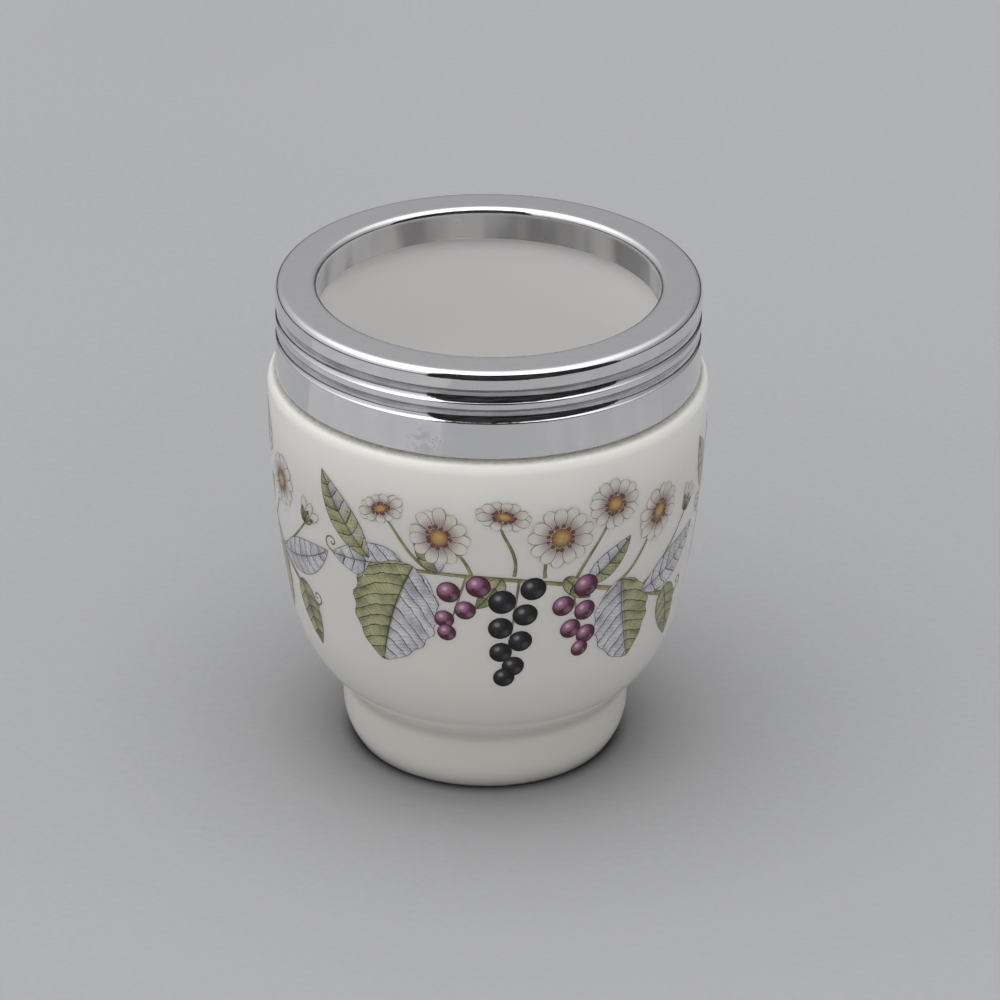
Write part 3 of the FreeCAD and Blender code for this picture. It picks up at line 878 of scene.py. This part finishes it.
# %% The sprays
def spray(middle):
    """Print one spray with its middle at u = middle."""
    def at(u, v):
        return (middle + u + rng.uniform(-0.5, 0.5), v + rng.uniform(-0.4, 0.4))

    def line(*points):
        return [(middle + u, v) for u, v in points]

    stem(line((30, 29), (17, 34), (5, 44), (-12, 42), (-29, 41)), 0.9, 0.45, 0.5, 90)
    for points in (((7, 39.4), (9, 44), (12.5, 47), (12.5, 51)), ((2.5, 40.8), (2, 44), (4, 46)),
                   ((-2, 41.5), (-1, 46), (-4.5, 48), (-4, 51)), ((-8, 41.8), (-9, 45), (-12, 47)),
                   ((-14, 42), (-18, 44.5), (-18.5, 48), (-21.5, 50.5)),
                   ((14, 37.2), (18, 38.5), (21, 46)), ((19, 34.5), (24, 37), (29, 43))):
        stem(line(*points), 0.55, 0.32, 0)
    leaf(at(-16.5, 42.4), 243, 18.5, 13.5, 18, 4, right=0.85, lobes=6, low=0.6, high=0.72)
    leaf(at(-17.5, 42.6), 196, 12.5, 6.4, -14, 3, left=0.1, right=0.1)
    leaf(at(14.5, 37.4), 276, 15.0, 10.4, 14, 4, left=0.95, right=0.1, lobes=5,
         low=0.6, high=0.72)
    leaf(at(20, 34.2), 8, 15.0, 5.8, 30, 5, low=0.8, high=1.0)
    leaf(at(-23, 41.6), 138, 14.5, 5.2, -26, 5, left=0.9, right=0.5, low=0.8, high=1.0)
    leaf(at(-12.6, 42.0), 112, 7.5, 3.8, 10, 5, left=1.0, right=0.2)
    leaf(at(25, 31.8), 296, 10.5, 5.4, -12, 5, left=0.8, right=1.0)
    leaf(at(9.4, 39.0), 30, 9.0, 4.0, 20, 5, left=0.2, right=0.9)
    leaf(at(-4, 41.4), 244, 6.4, 3.2, -20, 8, left=1.0, right=1.0)
    leaf(at(5.2, 40.4), 306, 6.0, 2.8, 18, 8, left=1.0, right=1.0)
    berry_string((middle - 1.2, 41.0), 264, 8, 1.9, 1.0)
    berry_string((middle + 6.6, 39.6), 280, 6, 1.75, 0.0)
    berry_string((middle - 8.6, 41.8), 254, 5, 1.75, 0.0)
    daisy(at(12.8, 51.0), 4.3, 0.9, 60)
    daisy(at(-3.8, 51.6), 3.9, 0.58, 75)
    daisy(at(4.4, 46.9), 4.8, layer=16)
    daisy(at(-12.2, 47.4), 4.7, 0.92, 20)
    daisy(at(-21.5, 50.6), 3.8, 0.55, 115)
    daisy(at(21.2, 46.4), 4.5, 0.82, 150)
    bud(at(29, 43), 58, 4.4)
    tendril(at(-29, 41), 200, 1.5, -1.6)
    tendril(at(29.4, 29.4), -25, 1.3, 1.5)


FIRST_MIDDLE = 6.0  # a little right of the front
SPRAY_SPACING = 65.0
for turn_round in (0, 1, -1):
    spray(FIRST_MIDDLE + turn_round * SPRAY_SPACING)
print("patches:", sum(len(sheet.points) for sheet in (leaves, stems, petals, hearts, berries)))

# %% [markdown]
# The colours are those of enamel printing: grey-lilac and olive for leaves, a dusty white for
# petals, gold, plum and near-black. Each motif has a thin ink outline that swells and thins as a
# pen line does. All of them lie under the same gloss as the porcelain beside them.

# %% Printed colours
def glazed(s, place, colour):
    """Close a printed material with the gloss of the cup."""
    return s.finish(Base_Color=colour, Normal=glaze_wave(s, place), **GLAZE)


def printed_leaf():
    """Lilac or olive halves with veins, forks and twigs in ink."""
    s, place = new_material("printed_leaf")
    edge, rib, vein, green, along = s.marks("edge", "rib", "vein", "green", "along")
    pen = s.noise(place, 1.4, 2.0)
    cloud = s.noise(place, 0.35, 4.0, 0.6)
    is_green = (green + (cloud - 0.5) * 1.1).rise(0.3, 0.7)
    bent = vein + (cloud - 0.5) * 0.8
    fold = (bent + 0.06).call("FRACT")
    light = fold * 0.22 + cloud * 1.0 - rib.fall(0.0, 0.9) * 0.14 + s.noise(place, 1.3, 3.0) * 0.25
    lilac = s.mix(light.rise(0.3, 1.0), rgb(148, 146, 152), rgb(224, 223, 227))
    olive = s.mix(light.rise(0.3, 1.0), rgb(84, 87, 60), rgb(184, 182, 140))
    colour = s.mix(is_green, lilac, olive)
    ink = s.mix(is_green, rgb(62, 59, 64), rgb(52, 58, 36))
    width = 0.03 + pen * 0.1
    veins = (bent.off_whole() * VEIN_STEP * 0.8).fall(0.02, 0.15)
    veins = veins * (pen.rise(0.3, 0.5) * 0.45 + 0.5)
    forks = ((bent * 2.0 + 0.5).off_whole() * VEIN_STEP * 0.4).fall(0.01, 0.09)
    forks = forks * edge.fall(1.2, 2.4) * pen.rise(0.38, 0.5) * 0.7
    twigs = ((bent * 3.0 + rib * 1.9).off_whole() * VEIN_STEP * 0.3).fall(0.0, 0.06)
    twigs = twigs.call("MAXIMUM", forks) * pen.rise(0.4, 0.55) * 0.8
    midrib = (rib - width * 0.6).fall(0.0, 0.09) * along.fall(0.9, 1.0) * 0.85
    outline = (edge - width).fall(0.0, 0.09) * 0.85
    lines = veins.call("MAXIMUM", twigs).call("MAXIMUM", midrib).call("MAXIMUM", outline)
    return glazed(s, place, s.mix(lines, colour, ink))


def printed_stem():
    """Olive and brown, with a shaded side and an inked edge."""
    s, place = new_material("printed_stem")
    edge, side = s.marks("edge", "side")
    tone = s.noise(place, 0.6, 3.0)
    colour = s.mix(tone.rise(0.35, 0.65), rgb(166, 162, 112), rgb(132, 112, 88))
    colour = s.mix(side.fall(-0.7, 0.5) * 0.45, colour, rgb(84, 80, 56))
    line = edge.fall(0.02, 0.11) * (0.55 + tone * 0.4)
    return glazed(s, place, s.mix(line, colour, rgb(66, 62, 48)))


def printed_petal():
    """Dusty white, darker at its foot, with fine streaks."""
    s, place = new_material("printed_petal")
    edge, side, along, tone = s.marks("edge", "side", "along", "tone")
    pen = s.noise(place, 1.6, 2.0)
    colour = s.mix(along.rise(0.1, 0.75), rgb(160, 138, 124), rgb(226, 221, 211))
    colour = s.mix((tone * 0.5 + pen * 0.5) * 0.4, colour, rgb(172, 166, 158))
    streak = (side * 3.4 + (pen - 0.5) * 0.6).off_whole().fall(0.04, 0.2) * along.fall(0.35, 0.8)
    outline = (edge - pen * 0.06).fall(0.02, 0.11)
    lines = (streak * 0.45).call("MAXIMUM", outline * 0.85)
    return glazed(s, place, s.mix(lines, colour, rgb(74, 68, 66)))


def printed_heart():
    """Grainy gold, dark dots round it, and the stars of the berries."""
    s, place = new_material("printed_heart")
    x, y, gold = s.marks("x", "y", "gold")
    reach = s.reach(x, y)
    grain = s.cells(place, 3.4).rise(0.12, 0.42)
    colour = s.mix(reach.rise(0.2, 0.95), rgb(192, 164, 100), rgb(148, 106, 66))
    colour = s.mix((1 - grain) * 0.7, colour, rgb(104, 74, 44))
    colour = s.mix(reach.rise(0.86, 1.0) * 0.7, colour, rgb(78, 58, 44))
    dots = s.mix(reach.rise(0.2, 1.0), rgb(134, 82, 82), rgb(66, 38, 40))
    colour = s.mix(gold.rise(0.4, 0.6), dots, colour)
    colour = s.mix(gold.fall(-0.6, -0.4), colour, rgb(44, 36, 34))
    return glazed(s, place, colour)


def printed_berry():
    """A lit ball in plum or near-black, with a shine and a bloom."""
    s, place = new_material("printed_berry")
    x, y, dark = s.marks("x", "y", "dark")
    reach = s.reach(x, y)
    off = s.reach(x + 0.3, y - 0.34)
    back_light = s.reach(x - 0.42, y + 0.45)
    grain = s.noise(place, 5.0, 2.0)
    light = off.fall(0.05, 1.15) + (grain - 0.5) * 0.35
    plum = s.mix(light.rise(0.1, 0.9), rgb(82, 34, 56), rgb(164, 112, 140))
    night = s.mix(light.rise(0.2, 1.0), rgb(10, 9, 11), rgb(54, 53, 57))
    is_dark = dark.rise(0.35, 0.65)
    colour = s.mix(is_dark, plum, night)
    bloom = back_light.fall(0.1, 0.5) * 0.28
    colour = s.mix(bloom, colour, s.mix(is_dark, rgb(196, 160, 184), rgb(112, 112, 122)))
    shine = off.fall(0.06, 0.34) * (0.55 + grain * 0.4)
    colour = s.mix(shine, colour, s.mix(is_dark, rgb(222, 200, 212), rgb(152, 152, 157)))
    outline = (reach + (grain - 0.5) * 0.08).rise(0.84, 0.97)
    return glazed(s, place, s.mix(outline * 0.8, colour, s.mix(
        is_dark, rgb(52, 22, 36), rgb(10, 9, 11))))


leaves.make("printed_leaves", printed_leaf())
stems.make("printed_stems", printed_stem())
petals.make("printed_petals", printed_petal())
hearts.make("printed_hearts", printed_heart())
berries.make("printed_berries", printed_berry())

# %% [markdown]
# The coddler stands on a plain grey sheet of paper. Under soft light its contact shadow is narrow,
# so the paper itself is also toned darker close round the foot, by the distance from the axis.

# %% Floor
HALF_FLOOR = 1.6
SHADE_REACH = 100.0  # the shade's stops are shares of this distance from the axis, mm


def grey(level):
    """The same value in all three channels."""
    return (level, level, level, 1)


def grey_paper():
    """Paper with faint clouds, and the shade round the foot."""
    s, place = new_material("grey_paper")
    tone = s.noise(place, 0.004, 2.0) * 0.5 + s.noise(place, 0.9, 3.0, 0.7) * 0.5
    colour = s.mix(tone.rise(0.3, 0.7), (0.362, 0.364, 0.373, 1), (0.39, 0.392, 0.4, 1))
    x, y, *_ = s.split(place)
    shade = s.node("ShaderNodeValToRGB", {"stops": [
        (0.194, grey(0.08)), (0.197, grey(0.14)), (0.208, grey(0.48)), (0.22, grey(0.68)),
        (0.26, grey(0.8)), (0.34, grey(0.92)), (0.46, grey(0.97)), (0.6, grey(1))]},
        {0: s.reach(x, y) / SHADE_REACH})
    colour = s.mix(shade, grey(0), colour)
    return s.finish(Base_Color=colour, Roughness=0.85, Specular_IOR_Level=0.15)


def flat_sheet(name, corners, material):
    """A flat stage piece with its corners in metres."""
    mesh = bpy.data.meshes.new(name)
    mesh.from_pydata(corners, [], [range(len(corners))])
    sheet = bpy.data.objects.new(name, mesh)
    scene.collection.objects.link(sheet)
    mesh.materials.append(material)
    return sheet


SQUARE = ((-1, -1), (1, -1), (1, 1), (-1, 1))
flat_sheet("paper_floor", [(x * HALF_FLOOR, y * HALF_FLOOR, 0) for x, y in SQUARE], grey_paper())

# %% [markdown]
# Chrome needs something dark and something pale to look like metal. As in a studio, these are
# cards: a black one stands in front and a pale one lies on each side. Only mirror-like rays see
# them: they take no light from the porcelain, throw no shadow and never show themselves.

# %% Cards that only mirrors see
CARD_LIFT = 0.001  # the pale cards lie just above the paper, m


def card(name, corners, dark, light):
    """A card of its own glow, seen by mirror-like rays alone, and a little uneven."""
    s, place = new_material(name)
    glow = s.mix(s.noise(place, 0.03, 4.0, 0.7).rise(0.4, 0.62), dark, light)
    s.finish(Base_Color=grey(0), Roughness=1.0, Specular_IOR_Level=0.0,
             Emission_Color=glow, Emission_Strength=1.0)
    sheet = flat_sheet(name, corners, s.owner)
    sheet.visible_camera = False
    sheet.visible_diffuse = False
    sheet.visible_shadow = False
    sheet.visible_transmission = False
    sheet.visible_volume_scatter = False


def lying(*places):
    """Corners of a card that lies on the paper."""
    return [(x, y, CARD_LIFT) for x, y in places]


card("black_card", [(-0.125, -0.22, 0), (0.6, -0.22, 0), (0.6, -0.22, 0.43), (-0.125, -0.22, 0.43)],
     grey(0.008), (0.05, 0.05, 0.052, 1))
card("pale_card_left", lying((-0.30, -0.25), (-0.045, -0.25), (-0.06, -0.12), (-0.11, -0.02),
                             (-0.11, 0.03), (-0.30, 0.03)),
     (0.50, 0.50, 0.505, 1), (0.55, 0.55, 0.555, 1))
card("pale_card_right", lying((0.06, -0.25), (0.30, -0.25), (0.30, 0.02), (0.11, 0.02),
                              (0.11, -0.03), (0.07, -0.12)),
     (0.44, 0.44, 0.445, 1), (0.48, 0.48, 0.485, 1))
print("cards: one stands, two lie")

# %% [markdown]
# The light is soft and comes from above, and a little more from the left and the front. Each lamp
# would show in the glaze as a shape of its own, so a world that is grey low down and bright
# overhead does the work of a big tent of cloth.

# %% World light
world = bpy.data.worlds.new("cloth_tent")
scene.world = world
s = Shader(world)
direction = s.node("ShaderNodeTexCoord", output=0)
x, y, z = s.split(direction)
tent = s.node("ShaderNodeValToRGB", {"stops": [
    (0.0, (0.05, 0.05, 0.051, 1)), (0.09, (0.07, 0.07, 0.071, 1)), (0.16, (0.4, 0.4, 0.405, 1)),
    (0.46, (0.6, 0.6, 0.606, 1)), (0.60, (0.82, 0.82, 0.825, 1)), (0.75, grey(1.3)),
    (1.0, grey(2.0))]}, {0: z})
from_left = 1 - 0.27 * x - 0.31 * y
light = s.node("ShaderNodeBackground", None, {"Color": tent, "Strength": from_left})
s.node("ShaderNodeOutputWorld", None, {"Surface": light})
print("world has", len(world.node_tree.nodes), "nodes")

# %% [markdown]
# The camera stands about three quarters of a metre off with a long lens and looks down at the
# mouth. Its angle, distance and slight roll come from the outlines of the ring and the foot.

# %% Camera
ELEVATION = radians(27.68)
DISTANCE = 0.7353
FOCAL_PIXELS = 5000.0
PICTURE_PIXELS = 1000
SENSOR = 36.0
ROLL = radians(0.61)
TARGET = Vector((0.00193, 0, 0.03744))
back = Vector((0, -cos(ELEVATION), sin(ELEVATION)))
lens = bpy.data.cameras.new("camera")
lens.sensor_width = SENSOR
lens.lens = FOCAL_PIXELS / PICTURE_PIXELS * SENSOR
lens.clip_start = 0.05
camera = bpy.data.objects.new("camera", lens)
scene.collection.objects.link(camera)
scene.camera = camera
camera.location = TARGET + back * DISTANCE
camera.rotation_mode = "QUATERNION"
look = (-back).to_track_quat("-Z", "Y")
camera.rotation_quaternion = Quaternion(back, ROLL) @ look
scene.view_settings.view_transform = "Standard"
print("camera at", [round(value, 4) for value in camera.location])
